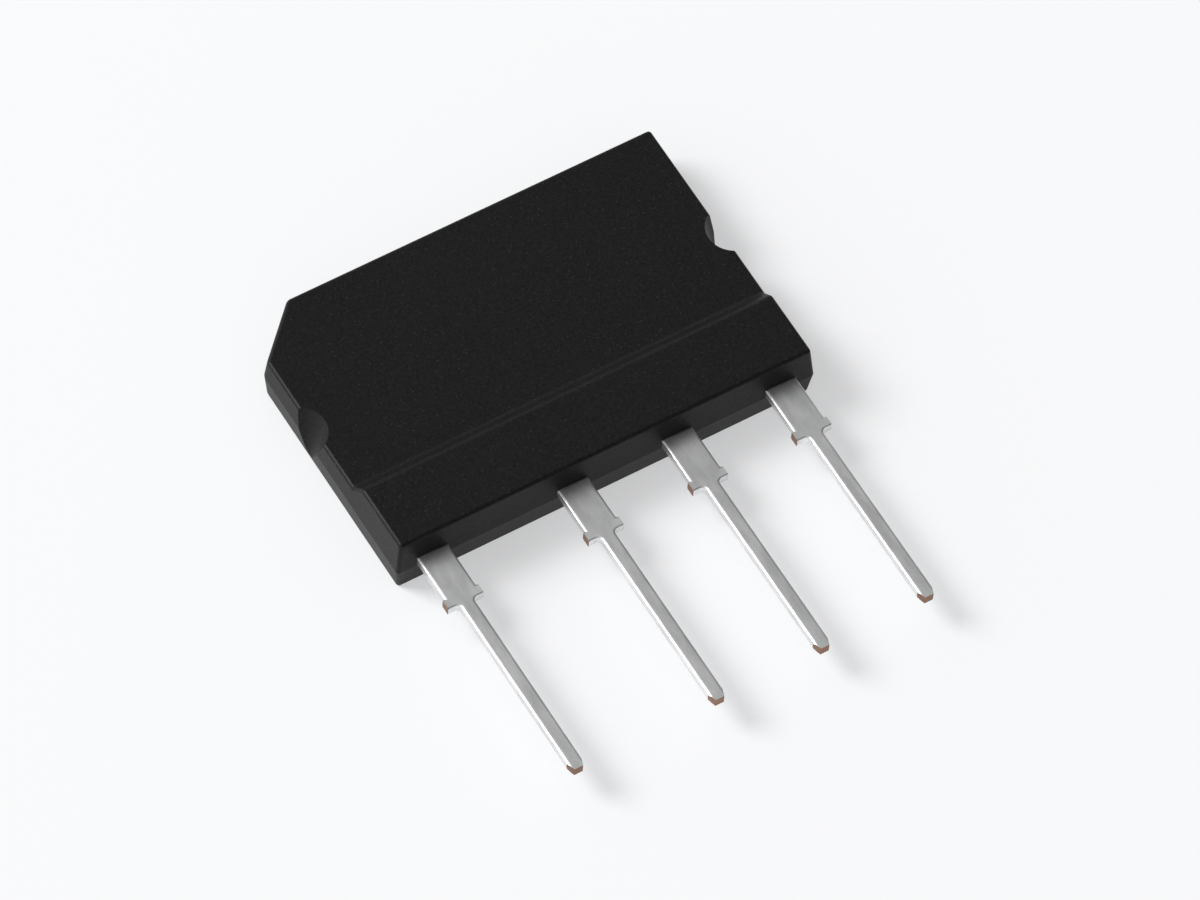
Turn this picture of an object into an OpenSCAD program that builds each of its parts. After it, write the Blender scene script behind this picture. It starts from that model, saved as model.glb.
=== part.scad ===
// Flat single-in-line bridge rectifier.
// Four terminals are stamped from one copper sheet. Four silicon dice are
// soldered to their pads, three formed copper links join the tops of the dice
// to the other pads, and the epoxy body is moulded round all of it.
// The part lies on its back: X runs along the body, Z comes out of the front,
// and the leads point to -Y. The origin is the middle of the back face.

/* [Body] */
// Length of the body, at the parting line of the mould
body_l = 30; // [29:0.1:32]
// Height of the body from the lead edge to the top edge, at the parting line
body_h = 20; // [19.5:0.1:23]
// Thickness of the body above the band
thin_t = 3.6; // [3.2:0.1:4.2]
// Thickness of the band along the lead edge
band_t = 4.6; // [4.3:0.1:6]
// Height of the band, from the lead edge
band_h = 5; // [3:0.1:6]
// Slope of the riser between the band and the front face
riser_deg = 48; // [35:1:70]
// Leg of the cut corner that marks the plus lead
corner_cut = 3.5; // [2:0.1:4.5]
// Mould draft of every side face, both ways from the parting line
draft_deg = 6; // [1:0.5:8]

/* [Side notches] */
// Width of the clip notch in each end of the body, at the front face
notch_w = 3.2; // [2.4:0.1:4]
// Depth of the notch at the front face
notch_d = 1; // [0.5:0.1:1.3]
// Slope of the notch's wall, from upright, by which it runs out towards the back
notch_deg = 17; // [10:1:25]
// Height of the notch's centre, from the lead edge
notch_up = 11; // [9:0.1:13]

/* [Leads] */
// Pitch from the plus lead to the first input lead
plus_pitch = 10; // [9.5:0.1:10.5]
// Pitch between the two input leads
input_pitch = 7.5; // [7:0.1:8]
// Pitch from the second input lead to the minus lead
minus_pitch = 7.5; // [7:0.1:8]
// Thickness of the sheet that the leads and pads are stamped from
lead_t = 0.7; // [0.5:0.05:0.9]
// Height of the leads' back face above the back of the body
lead_back = 2; // [1.7:0.05:2.3]
// Length of a lead outside the body
lead_l = 17.5; // [12:0.5:20]
// Width of the pin, the narrow part that goes into a board
pin_w = 1; // [0.8:0.05:1.2]
// Width of the pin's cut tip
tip_w = 0.6; // [0.4:0.05:0.7]
// Length of the taper to the tip
tip_l = 0.6; // [0.3:0.1:1.5]
// Width of the shoulder next to the body
shoulder_w = 2.2; // [1.8:0.1:2.6]
// Length of the shoulder outside the body
shoulder_l = 4; // [3:0.1:5]
// Radius in the corners between the pin and the end of the shoulder
root_r = 0.3; // [0.1:0.05:0.4]
// How far the stubs of the cut tie bar stand out of the shoulder
stub_out = 0.15; // [0.1:0.05:0.3]
// Length of the stubs along the lead
stub_l = 0.7; // [0.4:0.1:1.2]

/* [Pads] */
// Epoxy between the pads and the back of the body
pad_back = 0.7; // [0.5:0.05:0.9]
// How far a lead runs into the body before it bends down to its pad
root_in = 0.7; // [0.5:0.1:0.8]
// Slope of every bend, in the leads and in the links
bend_deg = 55; // [50:1:65]
// Gap between neighbouring pads
pad_gap = 0.8; // [0.6:0.05:1]
// Height of the gap between the upper and lower pads, from the lead edge
row_up = 11.2; // [10.8:0.1:11.4]
// Epoxy between the pads and the ends of the body
side_wall = 2.1; // [1.8:0.1:2.5]
// Epoxy between the upper pad and the top edge
top_wall = 1.5; // [1:0.1:2]
// Height of the lower pads' edge, from the lead edge
root_up = 2.2; // [2:0.1:2.5]
// Width of the strip that joins the plus lead to the upper pad
strip_w = 2.2; // [1.8:0.1:2.4]
// Corner trimmed off the upper pad beside the body's cut corner
pad_trim = 1.5; // [1:0.1:2.5]
// Height of the minus pad
minus_pad_h = 6.8; // [5.5:0.1:7]
// Diameter of the holes that lock the epoxy to the pads
lock_d = 1.1; // [0.8:0.1:1.3]

/* [Dice] */
// Side of a square silicon die
die_w = 4; // [3:0.1:4.3]
// Thickness of a die
die_t = 0.28; // [0.2:0.01:0.35]
// Bevel of a die's upper edge
die_bevel = 0.15; // [0.05:0.05:0.2]
// Height of the upper dice, from the lead edge
upper_up = 15; // [14.5:0.1:15.5]
// Height of the lower dice, from the lead edge
lower_up = 5.6; // [5.3:0.1:6]

/* [Solder] */
// Thickness of every solder joint
solder_t = 0.08; // [0.04:0.01:0.12]
// Width of the rim where solder shows round what it holds
solder_rim = 0.15; // [0.05:0.05:0.2]

/* [Links] */
// Thickness of the copper strip
link_t = 0.4; // [0.3:0.05:0.5]
// Width of the strip
link_w = 3; // [2.6:0.1:3.4]
// Reach of a link past the centre of its first die
link_past = 1.7; // [1.5:0.1:2]
// Radius of the flat contact under each pressed dimple
dimple_r = 0.9; // [0.6:0.05:1]
// Depth of the dimple
dimple_h = 0.25; // [0.15:0.05:0.3]
// How far the dimple's side leans out over its depth
dimple_flare = 0.3; // [0.1:0.05:0.3]
// Length of the foot
foot_l = 1.6; // [1.2:0.1:1.8]

/* [Hidden] */
$fn = 96;

// Clearance by which a cutter runs past the face that it opens
past = 0.5;

// Edges of the body at the parting line, which is level with the leads' back
part_z = lead_back;
end_x = body_l / 2;
top_y = body_h / 2;
lead_edge_y = -body_h / 2;
band_y = lead_edge_y + band_h;
riser_y = band_y + (band_t - thin_t) / tan(riser_deg);

// The notch is part of a cone, which has this radius at the front face
notch_y = lead_edge_y + notch_up;
notch_r = (notch_w * notch_w / 4 + notch_d * notch_d) / (2 * notch_d);

// Centre lines of the leads, which as a row are centred on the body
plus_x = -(plus_pitch + input_pitch + minus_pitch) / 2;
first_x = plus_x + plus_pitch;
second_x = first_x + input_pitch;
minus_x = second_x + minus_pitch;

// Edges of the pads
pad_side = end_x - side_wall;
pad_top = top_y - top_wall;
pad_root = lead_edge_y + root_up;
row_y = lead_edge_y + row_up;
upper_y0 = row_y + pad_gap / 2;
lower_y1 = row_y - pad_gap / 2;
first_x0 = -pad_side + strip_w + pad_gap;
inputs_x = (first_x + second_x) / 2;
minus_gap_x = (second_x + minus_x) / 2;

// Centres of the dice
left_x = (first_x0 + inputs_x - pad_gap / 2) / 2;
right_x = (inputs_x + minus_gap_x) / 2;
upper_y = lead_edge_y + upper_up;
lower_y = lead_edge_y + lower_up;

// Levels of the stack, from the pads up
pad_z = pad_back + lead_t;
die_z = pad_z + solder_t;
contact_z = die_z + die_t;
dimple_z = contact_z + solder_t;
link_z = dimple_z + dimple_h;
foot_z = pad_z + solder_t;

// Distance that a bend takes to drop by this height
function bend_run(drop) = drop / tan(bend_deg);

// Outline of a strip that steps down. Its lower side is high from start to bend_at and
// low from the foot of the bend to end. The upper side bends a little further on.
function stepped(start, bend_at, end, high, low, thick) =
    let (foot = bend_at + bend_run(high - low), lag = thick * tan(bend_deg / 2)) [
        [start, high],
        [bend_at, high],
        [foot, low],
        [end, low],
        [end, low + thick],
        [foot + lag, low + thick],
        [bend_at + lag, high + thick],
        [start, high + thick]];

// How far a drafted face has moved in at height z
function inset(z) = abs(z - part_z) * tan(draft_deg);

// Upright edge of a drafted side face, as distance out and height
function drafted(out, top) = [
    [out - inset(0), 0],
    [out, part_z],
    [out - inset(top), top]];

// The same points with their distances turned round, from the top down
function turned(points) = [for (i = [len(points) - 1:-1:0]) [-points[i][0], points[i][1]]];

// Runs an upright outline along Y, so that its first axis is X and its second Z
module run_upright(length) {
    rotate([90, 0, 0])
        linear_extrude(length, center = true)
            children();
}

// Block with drafted ends, a stepped front and a cut corner
module body_blank() {
    far = body_l + body_h;
    cut_out = (end_x + top_y - corner_cut) / sqrt(2);
    intersection() {
        run_upright(far)
            polygon(concat(drafted(end_x, band_t), turned(drafted(end_x, band_t))));
        rotate([0, 0, 90])
            run_upright(far)
                polygon(concat(
                    drafted(top_y, thin_t),
                    [[riser_y, thin_t], [band_y, band_t]],
                    turned(drafted(-lead_edge_y, band_t))));
        rotate([0, 0, 135])
            run_upright(far)
                polygon(concat(drafted(cut_out, band_t), [[-far, band_t], [-far, 0]]));
    }
}

// Scoop out of one end of the body. It is an upright cone with its point down, so that it
// is widest at the front face and runs out before it reaches the back.
module notch(side) {
    slope = tan(notch_deg);
    top_r = notch_r + past * slope;
    top_z = thin_t + past;
    axis_x = end_x - inset(thin_t) - notch_d + notch_r;
    translate([side * axis_x, notch_y, top_z - top_r / slope])
        cylinder(h = top_r / slope, r1 = 0, r2 = top_r);
}

module moulded_body() {
    color("#1b1c1e")
        difference() {
            body_blank();
            notch(-1);
            notch(1);
            terminals();
            dice();
            solder();
            links();
        }
}

// Flat lead along -Y from the lead edge at x. It ends in a narrow pin, and inside the
// body it bends down to the level of the pads.
module lead(x) {
    translate([x, lead_edge_y, 0]) {
        rotate([0, 0, 90])
            run_upright(shoulder_w)
                polygon(stepped(-shoulder_l, root_in, root_up + strip_w, lead_back, pad_back, lead_t));
        translate([0, 0, lead_back])
            linear_extrude(lead_t) {
                pin_outline();
                translate([-shoulder_w / 2 - stub_out, -shoulder_l])
                    square([shoulder_w + 2 * stub_out, stub_l]);
            }
    }
}

// Pin from its tapered tip up into the shoulder, with a round corner on each side
module pin_outline() {
    tip_y = -lead_l;
    corner_x = pin_w / 2 + root_r;
    corner_y = -shoulder_l - root_r;
    polygon([
        [-tip_w / 2, tip_y],
        [tip_w / 2, tip_y],
        [pin_w / 2, tip_y + tip_l],
        [pin_w / 2, corner_y + root_r],
        [-pin_w / 2, corner_y + root_r],
        [-pin_w / 2, tip_y + tip_l]]);
    difference() {
        translate([-corner_x, corner_y])
            square([2 * corner_x, root_r + stub_l]);
        for (side = [-1, 1])
            translate([side * corner_x, corner_y])
                circle(root_r);
    }
}

// Stamped and bent terminal: a lead at x, the outline of its pad given as a child,
// a neck that joins them where the middle of the pad's root isn't in line with the lead,
// and holes through which the epoxy above and below the pad is joined
module terminal(x, pad_x, locks) {
    color("#b9bdc1")
        difference() {
            union() {
                lead(x);
                translate([0, 0, pad_back])
                    linear_extrude(lead_t) {
                        children();
                        translate([min(x, pad_x) - shoulder_w / 2, pad_root])
                            square([abs(pad_x - x) + shoulder_w, strip_w]);
                    }
            }
            for (at = locks)
                translate([at[0], at[1], pad_back - past])
                    cylinder(h = lead_t + 2 * past, d = lock_d);
        }
}

// Height of the lock holes beside the roots of the leads
lock_y = pad_root + lock_d * 0.65;

module plus_terminal() {
    strip_x = -pad_side + strip_w / 2;
    mid_y = (upper_y0 + pad_top) / 2;
    terminal(plus_x, strip_x, [
        [(left_x + right_x) / 2, mid_y],
        [(left_x - die_w / 2 - pad_side) / 2, mid_y],
        [(right_x + die_w / 2 + pad_side) / 2, mid_y]]) {
        translate([strip_x - strip_w / 2, pad_root])
            square([strip_w, pad_top - pad_root - pad_trim]);
        polygon([
            [-pad_side, upper_y0],
            [pad_side, upper_y0],
            [pad_side, pad_top],
            [-pad_side + pad_trim, pad_top],
            [-pad_side, pad_top - pad_trim]]);
    }
}

// Terminal whose pad is a plain rectangle from x0 to x1 over its root
module plain_terminal(x, x0, x1, pad_h) {
    terminal(x, (x0 + x1) / 2, [[x, lock_y]])
        translate([x0, pad_root])
            square([x1 - x0, pad_h]);
}

module first_input_terminal() {
    plain_terminal(first_x, first_x0, inputs_x - pad_gap / 2, lower_y1 - pad_root);
}

module second_input_terminal() {
    plain_terminal(
        second_x, inputs_x + pad_gap / 2, minus_gap_x - pad_gap / 2, lower_y1 - pad_root);
}

module minus_terminal() {
    plain_terminal(minus_x, minus_gap_x + pad_gap / 2, pad_side, minus_pad_h);
}

module terminals() {
    plus_terminal();
    first_input_terminal();
    second_input_terminal();
    minus_terminal();
}

// Silicon die with a bevelled upper edge, centred over x and y
module die(x, y) {
    side = [
        [die_w / 2, 0],
        [die_w / 2, die_t - die_bevel],
        [die_w / 2 - die_bevel, die_t]];
    color("#5d646c")
        translate([x, y, die_z])
            intersection() {
                run_upright(die_w)
                    polygon(concat(side, turned(side)));
                rotate([0, 0, 90])
                    run_upright(die_w)
                        polygon(concat(side, turned(side)));
            }
}

module dice() {
    for (x = [left_x, right_x], y = [upper_y, lower_y])
        die(x, y);
}

// Joint between a pad and the die over it
module die_solder(x, y) {
    side = die_w + 2 * solder_rim;
    color("#a9abaa")
        translate([x - side / 2, y - side / 2, pad_z])
            cube([side, side, solder_t]);
}

// Joint between a die and the dimple of the link over it
module contact_solder(x, y) {
    color("#a9abaa")
        translate([x, y, contact_z])
            cylinder(h = solder_t, r = dimple_r + solder_rim);
}

// Joint under the foot of a link that runs along X from the origin
module foot_solder(bend_at) {
    color("#a9abaa")
        translate([bend_at + bend_run(link_z - foot_z), -link_w / 2, pad_z])
            cube([foot_l, link_w, solder_t]);
}

// Formed copper link: it runs along X from past its first die, bends down after
// bend_at and ends in a foot. A dimple is pressed down at each place in dice_at.
module link(bend_at, dice_at) {
    foot_end = bend_at + bend_run(link_z - foot_z) + foot_l;
    flare = dimple_flare / dimple_h;
    color("#b8733f")
        difference() {
            union() {
                run_upright(link_w)
                    polygon(stepped(-link_past, bend_at, foot_end, link_z, foot_z, link_t));
                for (x = dice_at)
                    translate([x, 0, dimple_z])
                        cylinder(h = dimple_h, r1 = dimple_r, r2 = dimple_r + dimple_flare);
            }
            for (x = dice_at)
                translate([x, 0, dimple_z + link_t])
                    cylinder(
                        h = dimple_h + past,
                        r1 = dimple_r,
                        r2 = dimple_r + flare * (dimple_h + past));
        }
}

// Distances from a link's first die to the middle of the gap that it steps down over
input_bend = upper_y - row_y;
minus_bend = minus_gap_x - left_x;

// Turns what runs along X so that it starts at an upper die and runs down to a lower pad
module down_from(x) {
    translate([x, upper_y, 0])
        rotate([0, 0, -90])
            children();
}

module input_link(x) {
    down_from(x)
        link(input_bend, [0]);
}

module input_foot_solder(x) {
    down_from(x)
        foot_solder(input_bend);
}

module minus_link() {
    translate([left_x, lower_y, 0])
        link(minus_bend, [0, right_x - left_x]);
}

module minus_foot_solder() {
    translate([left_x, lower_y, 0])
        foot_solder(minus_bend);
}

module links() {
    input_link(left_x);
    input_link(right_x);
    minus_link();
}

module solder() {
    for (x = [left_x, right_x]) {
        for (y = [upper_y, lower_y]) {
            die_solder(x, y);
            contact_solder(x, y);
        }
        input_foot_solder(x);
    }
    minus_foot_solder();
}

moulded_body();
plus_terminal();
first_input_terminal();
second_input_terminal();
minus_terminal();
die(left_x, upper_y);  // upper_left_die
die(right_x, upper_y);  // upper_right_die
die(left_x, lower_y);  // lower_left_die
die(right_x, lower_y);  // lower_right_die
die_solder(left_x, upper_y);  // upper_left_die_solder
die_solder(right_x, upper_y);  // upper_right_die_solder
die_solder(left_x, lower_y);  // lower_left_die_solder
die_solder(right_x, lower_y);  // lower_right_die_solder
contact_solder(left_x, upper_y);  // upper_left_contact_solder
contact_solder(right_x, upper_y);  // upper_right_contact_solder
contact_solder(left_x, lower_y);  // lower_left_contact_solder
contact_solder(right_x, lower_y);  // lower_right_contact_solder
input_link(left_x);  // left_input_link
input_link(right_x);  // right_input_link
minus_link();
input_foot_solder(left_x);  // left_foot_solder
input_foot_solder(right_x);  // right_foot_solder
minus_foot_solder();
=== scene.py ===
"""Flat single-in-line bridge rectifier, lying on its back.

The sections follow the real part as it is put together: the stamped and tinned terminals,
the silicon dice, the solder, the formed copper links and then the epoxy moulded round them.
Lengths are in metres, but the camera's lens and film are in millimetres. The origin is the
middle of the back face, X runs along the body, Z comes out of its front and the leads point
to -Y.
"""
from math import cos, radians, sin

import bmesh
import bpy
from mathutils import Matrix, Vector
from mathutils.bvhtree import BVHTree


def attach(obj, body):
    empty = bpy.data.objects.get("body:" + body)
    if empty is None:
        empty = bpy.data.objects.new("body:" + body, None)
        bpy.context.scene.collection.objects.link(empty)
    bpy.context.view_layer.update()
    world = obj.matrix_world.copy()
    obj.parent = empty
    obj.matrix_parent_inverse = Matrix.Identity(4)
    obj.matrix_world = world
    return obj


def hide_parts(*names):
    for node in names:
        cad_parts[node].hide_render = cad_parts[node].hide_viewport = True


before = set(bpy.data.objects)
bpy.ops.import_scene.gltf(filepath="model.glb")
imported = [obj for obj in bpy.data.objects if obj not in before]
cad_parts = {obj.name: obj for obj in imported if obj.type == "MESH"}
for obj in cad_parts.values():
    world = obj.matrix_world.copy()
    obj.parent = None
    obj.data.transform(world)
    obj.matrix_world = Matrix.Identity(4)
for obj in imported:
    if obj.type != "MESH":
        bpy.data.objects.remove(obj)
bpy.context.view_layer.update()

# ---------------------------------------------------------------------------------------
# Camera. A long lens looks down on the front of the part from its lower left, from far
# enough away that the leads look almost parallel, and is tilted a little to one side.
# ---------------------------------------------------------------------------------------
view_azimuth = -35.2
view_elevation = 57.7
view_roll = 5.2
view_distance = 0.635
lens_length = 306
film_width = 36
near_clip = 0.01
far_clip = 20
mm = 0.001
aim_right = 4.74 * mm
aim_up = -4.87 * mm

az, el, roll = radians(view_azimuth), radians(view_elevation), radians(view_roll)
toward_camera = Vector((sin(az) * cos(el), -cos(az) * cos(el), sin(el)))
level_right = Vector((cos(az), sin(az), 0))
level_up = toward_camera.cross(level_right)
camera_right = cos(roll) * level_right + sin(roll) * level_up
camera_up = cos(roll) * level_up - sin(roll) * level_right

camera = bpy.data.objects.new("camera", bpy.data.cameras.new("camera"))
camera.data.lens = lens_length
camera.data.sensor_width = film_width
camera.data.clip_start = near_clip
camera.data.clip_end = far_clip
turn = Matrix((camera_right, camera_up, toward_camera)).transposed().to_4x4()
place = camera_right * aim_right + camera_up * aim_up + toward_camera * view_distance
camera.matrix_world = Matrix.Translation(place) @ turn
bpy.context.scene.collection.objects.link(camera)
bpy.context.scene.camera = camera

# ---------------------------------------------------------------------------------------
# Studio. A pale table top, a room that is bright low down on the left and dim on the right,
# and one large soft lamp behind on the left. Left-hand faces come out bright and right-hand
# ones dark, and the table shows almost white, with a faint shadow.
# ---------------------------------------------------------------------------------------
table_width = 8.0
table_colour = (0.95, 0.955, 0.965, 1)
table_roughness = 0.9
table_gloss = 0.1
table_glow = 0.5
room_bright_side = Vector((-0.80, 0.42, -0.43)).normalized()
room_dim = 0.08
room_bright = 1.0
lamp_power = 91
lamp_size = 1.4
lamp_place = Vector((-1.75, 1.55, 2.1))


def surface(name):
    """New node material, with its node tree and its shader."""
    material = bpy.data.materials.new(name)
    material.use_nodes = True
    tree = material.node_tree
    return material, tree, tree.nodes["Principled BSDF"]


def node(tree, kind, **settings):
    """New node with these settings. A setting whose name is an input's goes to that input."""
    made = tree.nodes.new(kind)
    for key, value in settings.items():
        socket = made.inputs.get(key.replace("_", " "))
        if socket is None:
            setattr(made, key, value)
        else:
            socket.default_value = value
    return made


def add_object(name, bm):
    """Makes a mesh object of a bmesh, at the origin."""
    mesh = bpy.data.meshes.new(name)
    bm.to_mesh(mesh)
    bm.free()
    made = bpy.data.objects.new(name, mesh)
    bpy.context.scene.collection.objects.link(made)
    return made


def pale_table():
    """Matt pale paint. What the eye and mirrors see of it is lifted, so shadows stay faint."""
    material, tree, shader = surface("pale_table")
    shader.inputs["Base Color"].default_value = table_colour
    shader.inputs["Roughness"].default_value = table_roughness
    shader.inputs["Specular IOR Level"].default_value = table_gloss
    glow = node(tree, "ShaderNodeEmission", Color=table_colour, Strength=1)
    ray = node(tree, "ShaderNodeLightPath")
    eye_or_gloss = node(tree, "ShaderNodeMath", operation="MAXIMUM")
    seen = node(tree, "ShaderNodeMath", operation="MAXIMUM")
    share = node(tree, "ShaderNodeMath", operation="MULTIPLY")
    share.inputs[1].default_value = table_glow
    blend = node(tree, "ShaderNodeMixShader")
    tree.links.new(ray.outputs["Is Camera Ray"], eye_or_gloss.inputs[0])
    tree.links.new(ray.outputs["Is Glossy Ray"], eye_or_gloss.inputs[1])
    tree.links.new(eye_or_gloss.outputs[0], seen.inputs[0])
    tree.links.new(ray.outputs["Is Transmission Ray"], seen.inputs[1])
    tree.links.new(seen.outputs[0], share.inputs[0])
    tree.links.new(share.outputs[0], blend.inputs[0])
    tree.links.new(shader.outputs[0], blend.inputs[1])
    tree.links.new(glow.outputs[0], blend.inputs[2])
    tree.links.new(blend.outputs[0], tree.nodes["Material Output"].inputs["Surface"])
    return material


table_bm = bmesh.new()
bmesh.ops.create_grid(table_bm, x_segments=1, y_segments=1, size=table_width / 2)
table_top = add_object("table_top", table_bm)
table_top.data.materials.append(pale_table())

room = bpy.data.worlds.new("room")
room.use_nodes = True
tree = room.node_tree
direction = node(tree, "ShaderNodeTexCoord").outputs["Generated"]
toward_bright = node(tree, "ShaderNodeVectorMath", operation="DOT_PRODUCT")
toward_bright.inputs[1].default_value = room_bright_side
level = node(
    tree, "ShaderNodeMapRange", From_Min=-1, From_Max=1, To_Min=room_dim, To_Max=room_bright)
tree.links.new(direction, toward_bright.inputs[0])
tree.links.new(toward_bright.outputs["Value"], level.inputs["Value"])
tree.links.new(level.outputs["Result"], tree.nodes["Background"].inputs["Strength"])
tree.nodes["Background"].inputs["Color"].default_value = (1, 1, 1, 1)
bpy.context.scene.world = room

lamp = bpy.data.objects.new("lamp", bpy.data.lights.new("lamp", "AREA"))
lamp.data.energy = lamp_power
lamp.data.size = lamp_size
lamp.location = lamp_place
lamp.rotation_euler = lamp_place.to_track_quat("Z", "Y").to_euler()
bpy.context.scene.collection.objects.link(lamp)
bpy.context.scene.view_settings.view_transform = "Standard"

# ---------------------------------------------------------------------------------------
# Terminals. Four flat leads with their pads, stamped from one copper sheet and bent down
# inside the body. Outside it they are dipped in tin, which rounds their edges. The tie bar
# and the strip at the tips are sheared off last, so the cut faces there are bare copper.
# ---------------------------------------------------------------------------------------
lead_edge_y = min(v.co.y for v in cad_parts["moulded_body"].data.vertices)
round_start = 0.05 * mm
tin_into_body = 0.15 * mm
tin_round = 0.24 * mm
tin_spread = 1.7
tin_steps = 5
cut_spare = 0.5 * mm
tin_colour = (0.88, 0.885, 0.89, 1)
tin_bright = 0.34
tin_dull = 0.50
copper_colour = (0.34, 0.19, 0.12, 1)
corner_angle = radians(40)
weld = 0.0001 * mm
flat_angle = radians(0.5)
tin_slot, copper_slot = 0, 1


def merged_copy(name):
    """Bmesh of a solid's mesh, welded, with its flat faces joined up."""
    bm = bmesh.new()
    bm.from_mesh(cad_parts[name].data)
    bmesh.ops.remove_doubles(bm, verts=bm.verts, dist=weld)
    bmesh.ops.dissolve_limit(bm, angle_limit=flat_angle, verts=bm.verts, edges=bm.edges)
    return bm


def join_doubled(bm):
    """Joins points that a cut or a rounding has left on top of each other."""
    bmesh.ops.remove_doubles(bm, verts=bm.verts, dist=weld)
    bmesh.ops.dissolve_degenerate(bm, dist=weld, edges=bm.edges)


def round_edges(bm, edges, radius, steps):
    """Rounds these edges."""
    bmesh.ops.bevel(
        bm,
        geom=edges,
        offset=radius,
        offset_type="OFFSET",
        affect="EDGES",
        segments=steps,
        profile=0.5,
        material=-1,
        clamp_overlap=True)
    join_doubled(bm)


def show_corners(bm, crisp):
    """Shades the faces smooth, apart from these edges."""
    for face in bm.faces:
        face.smooth = True
    for edge in crisp:
        edge.smooth = False


def keep_flats(piece):
    """Lets each rounded edge run out into its flat faces without bending their shading."""
    finish = piece.modifiers.new("keep_flats", "WEIGHTED_NORMAL")
    finish.keep_sharp = True


def outside(bm):
    """What lies wholly outside the body."""
    verts = [v for v in bm.verts if v.co.y < lead_edge_y - round_start + weld]
    ours = set(verts)
    edges = [e for e in bm.edges if all(v in ours for v in e.verts)]
    faces = [f for f in bm.faces if all(v in ours for v in f.verts)]
    return verts + edges + faces


def shear(bm, point, outward):
    """Cuts off what lies past a plane outside the body and closes the cut with copper."""
    cut = bmesh.ops.bisect_plane(
        bm, geom=outside(bm), plane_co=point, plane_no=outward, clear_outer=True)
    rim = [e for e in cut["geom_cut"] if isinstance(e, bmesh.types.BMEdge)]
    for face in bmesh.ops.holes_fill(bm, edges=rim)["faces"]:
        face.material_index = copper_slot


def laid(tree, where, kind, **settings):
    """New pattern, or mapping of one, laid on the piece by these coordinates."""
    made = node(tree, kind, **settings)
    tree.links.new(where, made.inputs["Vector"])
    return made


def darker(colour, share):
    """This share of a colour."""
    return [share * c for c in colour[:3]] + [1]


def tones(tree, pattern, dark, pale, start=0, end=1):
    """Colour that goes from dark to pale as a pattern goes from start to end."""
    ramp = node(tree, "ShaderNodeValToRGB")
    dark_end, pale_end = ramp.color_ramp.elements
    dark_end.position = start
    dark_end.color = dark
    pale_end.position = end
    pale_end.color = pale
    tree.links.new(pattern, ramp.inputs["Fac"])
    return ramp.outputs["Color"]


def vary_roughness(tree, shader, pattern, bright, dull):
    """Lets a pattern take the skin from bright to dull."""
    rough = node(tree, "ShaderNodeMapRange", To_Min=bright, To_Max=dull)
    tree.links.new(pattern, rough.inputs["Value"])
    tree.links.new(rough.outputs["Result"], shader.inputs["Roughness"])


def emboss(tree, shader, pattern, strength, depth):
    """Lets a pattern stand out of the skin."""
    bump = node(tree, "ShaderNodeBump", Strength=strength, Distance=depth)
    tree.links.new(pattern, bump.inputs["Height"])
    tree.links.new(bump.outputs["Normal"], shader.inputs["Normal"])


def dipped_tin():
    """Dull tin with the soft ripples and the frosting that dipping leaves."""
    material, tree, shader = surface("dipped_tin")
    where = node(tree, "ShaderNodeTexCoord").outputs["Object"]
    along_lead = laid(tree, where, "ShaderNodeMapping", Scale=(1, 0.35, 1)).outputs["Vector"]
    frost = laid(tree, where, "ShaderNodeTexNoise", Scale=9000, Detail=3).outputs["Fac"]
    ripple = laid(tree, along_lead, "ShaderNodeTexNoise", Scale=1400, Detail=2).outputs["Fac"]
    tone = tones(tree, ripple, darker(tin_colour, 0.8), tin_colour, start=0.3, end=0.7)
    tree.links.new(tone, shader.inputs["Base Color"])
    vary_roughness(tree, shader, frost, bright=tin_bright, dull=tin_dull)
    emboss(tree, shader, ripple, strength=0.35, depth=0.03 * mm)
    shader.inputs["Metallic"].default_value = 1
    return material


def bare_copper():
    """Copper with the fine lines of the rolling mill along X and a little tarnish."""
    material, tree, shader = surface("bare_copper")
    where = node(tree, "ShaderNodeTexCoord").outputs["Object"]
    along_x = laid(tree, where, "ShaderNodeMapping", Scale=(0.05, 1, 1)).outputs["Vector"]
    lines = laid(tree, along_x, "ShaderNodeTexNoise", Scale=20000, Detail=2).outputs["Fac"]
    tarnish = laid(tree, where, "ShaderNodeTexNoise", Scale=700, Detail=4).outputs["Fac"]
    tone = tones(tree, tarnish, darker(copper_colour, 0.5), copper_colour)
    tree.links.new(tone, shader.inputs["Base Color"])
    vary_roughness(tree, shader, lines, bright=0.3, dull=0.5)
    emboss(tree, shader, lines, strength=0.2, depth=0.01 * mm)
    shader.inputs["Metallic"].default_value = 1
    return material


tin = dipped_tin()
copper = bare_copper()


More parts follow.
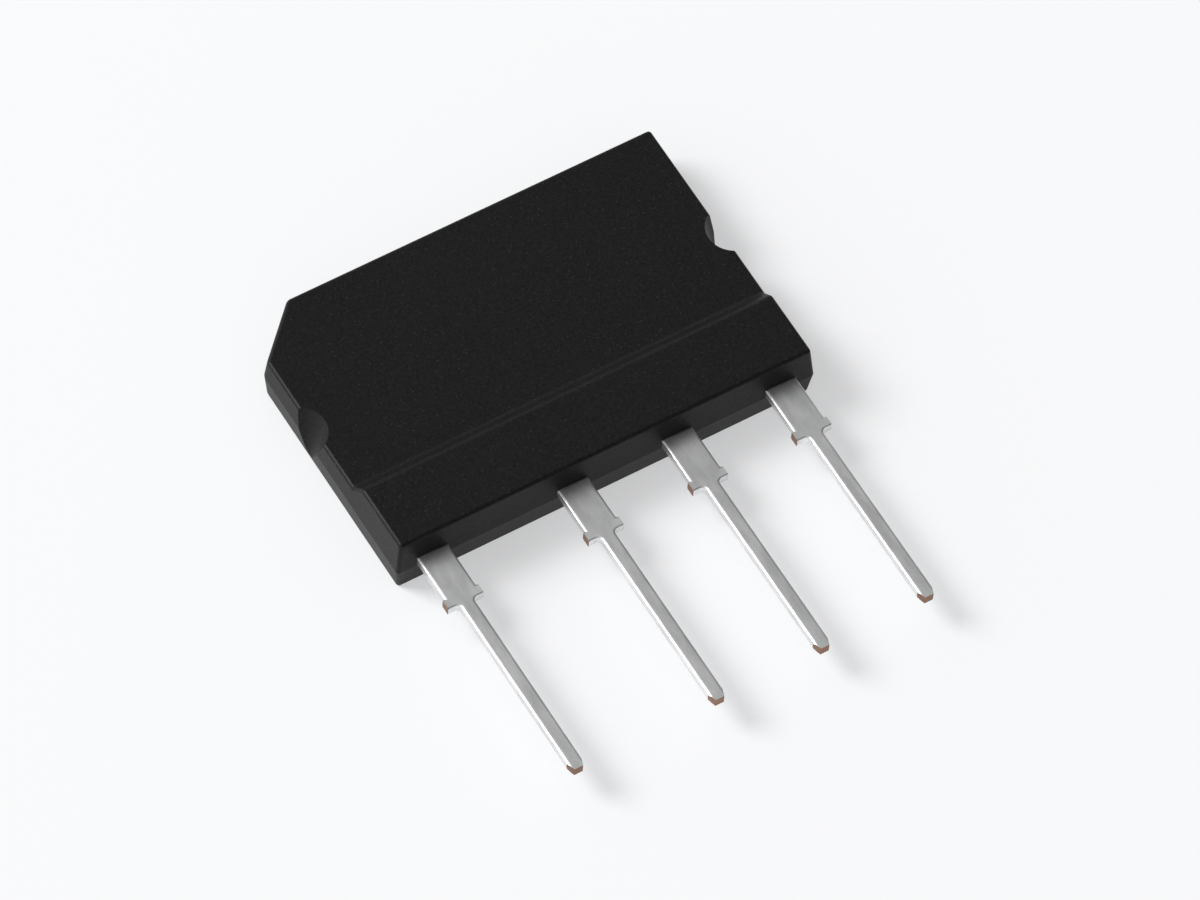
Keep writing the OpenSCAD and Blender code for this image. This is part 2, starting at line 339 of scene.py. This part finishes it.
def tinned_terminal(name):
    """Terminal whose lead has edges rounded by the tin, and sheared ends."""
    bm = merged_copy(name)

    # Lines round the terminal where its rounding starts and where its tin ends in the body
    for cut_y in (lead_edge_y - round_start, lead_edge_y + tin_into_body):
        bmesh.ops.bisect_plane(
            bm, geom=bm.verts[:] + bm.edges[:] + bm.faces[:],
            plane_co=(0, cut_y, 0), plane_no=(0, 1, 0))

    # The lead's middle and the half widths of its tip, its pin and its tie-bar stubs
    tip_y = min(v.co.y for v in bm.verts)
    tip = [v for v in bm.verts if v.co.y < tip_y + weld]
    middle_x = sum(v.co.x for v in tip) / len(tip)
    tip_half = max(v.co.x for v in tip) - middle_x
    taper_y = min(v.co.y for v in bm.verts if v.co.y > tip_y + weld)
    pin_half = max(v.co.x for v in bm.verts if v.co.y < taper_y + weld) - middle_x
    lead = [v for v in bm.verts if v.co.y < lead_edge_y - round_start + weld]
    stub_half = max(v.co.x for v in lead) - middle_x

    # The strip at the tip and the tie bar are still on while the lead is dipped
    lead_middle = Matrix.Translation((-middle_x, 0, 0))
    bmesh.ops.scale(bm, vec=(pin_half / tip_half, 1, 1), space=lead_middle, verts=tip)
    bmesh.ops.translate(bm, vec=(0, -cut_spare, 0), verts=tip)
    ends = tip[:]
    for side in (-1, 1):
        stub = [v for v in lead if side * (v.co.x - middle_x) > stub_half - weld]
        bmesh.ops.translate(bm, vec=(side * cut_spare, 0, 0), verts=stub)
        ends += stub

    # Tin rounds the edges further across the lead than through it, so the lead is made
    # narrower while they are rounded
    long_edges = [
        e for e in bm.edges
        if max(v.co.y for v in e.verts) < lead_edge_y - round_start + weld
        and not all(v in ends for v in e.verts)
        and e.is_manifold
        and e.calc_face_angle() > corner_angle]
    bmesh.ops.scale(bm, vec=(1 / tin_spread, 1, 1), space=lead_middle, verts=bm.verts)
    round_edges(bm, long_edges, tin_round, tin_steps)
    bmesh.ops.scale(bm, vec=(tin_spread, 1, 1), space=lead_middle, verts=bm.verts)

    # The epoxy hides where the tin ends. The shears then take the spare ends off
    for face in bm.faces:
        inside = face.calc_center_median().y > lead_edge_y + tin_into_body
        face.material_index = copper_slot if inside else tin_slot
    shear(bm, (middle_x, tip_y, 0), (0, -1, 0))
    for side in (-1, 1):
        shear(bm, (middle_x + side * stub_half, 0, 0), (side, 0, 0))
        shear(
            bm, (middle_x + side * pin_half, taper_y, 0),
            Vector((side * (taper_y - tip_y), tip_half - pin_half, 0)))
    join_doubled(bm)
    show_corners(bm, [e for e in bm.edges if e.calc_face_angle(0) > corner_angle])

    piece = add_object(name + "_tinned", bm)
    piece.data.materials.append(tin)
    piece.data.materials.append(copper)
    keep_flats(piece)
    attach(piece, "root")
    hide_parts(name)


for name in ("plus", "first_input", "second_input", "minus"):
    tinned_terminal(name + "_terminal")

# ---------------------------------------------------------------------------------------
# Dice. Four squares of silicon with bevelled upper edges, sawn from a wafer. Each is
# soldered to a pad, and the bevel keeps the voltage from creeping over its edge.
# ---------------------------------------------------------------------------------------
silicon_colour = (0.11, 0.12, 0.14, 1)


def wear(name, material):
    """Gives a solid its finish."""
    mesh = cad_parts[name].data
    mesh.materials.clear()
    mesh.materials.append(material)


def sawn_silicon():
    """Dark, glossy silicon with the faint swirl of its polishing."""
    material, tree, shader = surface("sawn_silicon")
    where = node(tree, "ShaderNodeTexCoord").outputs["Object"]
    swirl = laid(
        tree, where, "ShaderNodeTexNoise", Scale=2500, Detail=2, Distortion=1.5).outputs["Fac"]
    tone = tones(tree, swirl, darker(silicon_colour, 0.8), silicon_colour)
    tree.links.new(tone, shader.inputs["Base Color"])
    vary_roughness(tree, shader, swirl, bright=0.12, dull=0.28)
    return material


silicon = sawn_silicon()
corners = [row + "_" + side for row in ("upper", "lower") for side in ("left", "right")]
for corner in corners:
    wear(corner + "_die", silicon)

# ---------------------------------------------------------------------------------------
# Solder. A thin joint lies under each die, on it under the dimple of its link, and under
# the foot of each link. It is melted in an oven with everything held in a jig.
# ---------------------------------------------------------------------------------------
solder_colour = (0.42, 0.42, 0.40, 1)


def dull_solder():
    """Grey solder with a grainy, half-dull skin."""
    material, tree, shader = surface("dull_solder")
    where = node(tree, "ShaderNodeTexCoord").outputs["Object"]
    grain = laid(tree, where, "ShaderNodeTexVoronoi", Scale=6000).outputs["Distance"]
    cloud = laid(tree, where, "ShaderNodeTexNoise", Scale=1500, Detail=3).outputs["Fac"]
    tone = tones(tree, cloud, darker(solder_colour, 0.7), solder_colour)
    tree.links.new(tone, shader.inputs["Base Color"])
    vary_roughness(tree, shader, grain, bright=0.35, dull=0.6)
    shader.inputs["Metallic"].default_value = 1
    return material


solder = dull_solder()
joints = [corner + part for corner in corners for part in ("_die_solder", "_contact_solder")]
joints += ["left_foot_solder", "right_foot_solder", "minus_foot_solder"]
for joint in joints:
    wear(joint, solder)

# ---------------------------------------------------------------------------------------
# Links. Three strips of copper, each pressed with dimples that reach down to the dice and
# bent to a foot on the next pad. They aren't tinned.
# ---------------------------------------------------------------------------------------
for link in ("left_input_link", "right_input_link", "minus_link"):
    wear(link, copper)

# ---------------------------------------------------------------------------------------
# Moulded body. Black epoxy is pressed round all of it in a steel mould, whose two halves
# meet level with the backs of the leads. The mould is spark-eroded, so the skin is finely
# grained, and its edges are a little rounded.
# ---------------------------------------------------------------------------------------
mould_round = 0.24 * mm
mould_steps = 6
epoxy_dark = (0.0024, 0.0024, 0.0026, 1)
epoxy_pale = (0.0096, 0.0096, 0.0104, 1)
epoxy_gloss = 0.2
filler_colour = (0.03, 0.03, 0.031, 1)
reach_out = 0.001 * mm
skin_angle = radians(20)
crisp_angle = radians(17)
notch_facet = 3 * mm * mm


def black_epoxy():
    """Black epoxy with the fine grain of the mould and faint specks of its filler."""
    material, tree, shader = surface("black_epoxy")
    where = node(tree, "ShaderNodeTexCoord").outputs["Object"]
    flow = laid(
        tree, where, "ShaderNodeTexNoise", Scale=220, Detail=5, Distortion=0.6).outputs["Fac"]
    grain = laid(
        tree, where, "ShaderNodeTexNoise", Scale=5500, Detail=5, Roughness=0.7).outputs["Fac"]
    speck = laid(tree, where, "ShaderNodeTexVoronoi", Scale=2600).outputs["Distance"]
    tone = tones(tree, grain, epoxy_dark, epoxy_pale, start=0.35, end=0.65)
    filler = node(tree, "ShaderNodeMapRange", From_Min=0.05, From_Max=0.16, To_Min=1, To_Max=0)
    tree.links.new(speck, filler.inputs["Value"])
    mixed = node(tree, "ShaderNodeMix", data_type="RGBA")
    tree.links.new(filler.outputs["Result"], mixed.inputs["Factor"])
    tree.links.new(tone, mixed.inputs["A"])
    mixed.inputs["B"].default_value = filler_colour
    tree.links.new(mixed.outputs["Result"], shader.inputs["Base Color"])
    vary_roughness(tree, shader, flow, bright=0.42, dull=0.50)
    emboss(tree, shader, grain, strength=1, depth=0.015 * mm)
    shader.inputs["Specular IOR Level"].default_value = epoxy_gloss
    return material


def open_skin(bm):
    """Faces that nothing of the body lies in front of."""
    tree = BVHTree.FromBMesh(bm)
    skin = set()
    for face in bm.faces:
        middle = face.calc_center_median()
        if tree.ray_cast(middle + face.normal * reach_out, face.normal)[0] is None:
            skin.add(face)
    return skin


# The outside is rounded. The pockets round the inner pieces stay sharp, and so do the
# scoops in the ends, whose faces are small
body_bm = merged_copy("moulded_body")
bmesh.ops.recalc_face_normals(body_bm, faces=body_bm.faces)
skin = open_skin(body_bm)
parting_z = min(body_bm.verts, key=lambda v: v.co.x).co.z


def at_parting(edge):
    """True for an edge of the line where the halves of the mould meet."""
    return all(abs(v.co.z - parting_z) < weld for v in edge.verts)


shell = [
    e for e in body_bm.edges
    if all(f in skin and f.calc_area() > notch_facet for f in e.link_faces)
    and not at_parting(e)
    and e.calc_face_angle(0) > skin_angle]
round_edges(body_bm, shell, mould_round, mould_steps)

# A step of the rounding turns by less than the crisp angle, so it shows no corner. So does
# the parting line, but that one is seen on the real part
show_corners(body_bm, [
    e for e in body_bm.edges
    if e.calc_face_angle(0) > (flat_angle if at_parting(e) else crisp_angle)])
moulding = add_object("moulding", body_bm)
moulding.data.materials.append(black_epoxy())
keep_flats(moulding)
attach(moulding, "root")
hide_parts("moulded_body")
